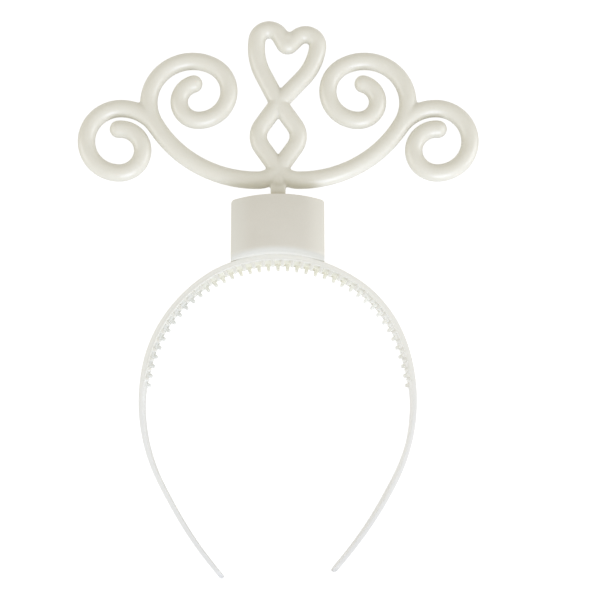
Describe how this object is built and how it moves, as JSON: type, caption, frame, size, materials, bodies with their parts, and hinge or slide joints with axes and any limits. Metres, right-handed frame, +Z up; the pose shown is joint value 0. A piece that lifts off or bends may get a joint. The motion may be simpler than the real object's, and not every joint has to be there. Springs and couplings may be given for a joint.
{
  "type": "light-up tiara",
  "caption": "Light-up tiara: springy toothed headband with a battery case on its crown and a pearly scrolled tube crest with a heart, lying on its back.",
  "frame": {"origin": "on the surface that the tiara lies on, under the middle of its bounding box", "axes": "+Y from the head up to the crest, +X to the wearer's left, +Z up from the surface, the way the front of the tiara faces"},
  "size_m": [0.184, 0.2548, 0.015],
  "materials": {
    "band_plastic": "satin ivory white moulded plastic",
    "case_plastic": "satin ivory moulded plastic",
    "cover_plastic": "satin ivory moulded plastic",
    "pearl_plastic": "pearly ivory plastic with a soft gloss"
  },
  "bodies": {
    "root": {"headband": "band_plastic", "battery_box": "case_plastic", "back_cover": "cover_plastic", "crest": "pearl_plastic"}
  },
  "joints": []
}
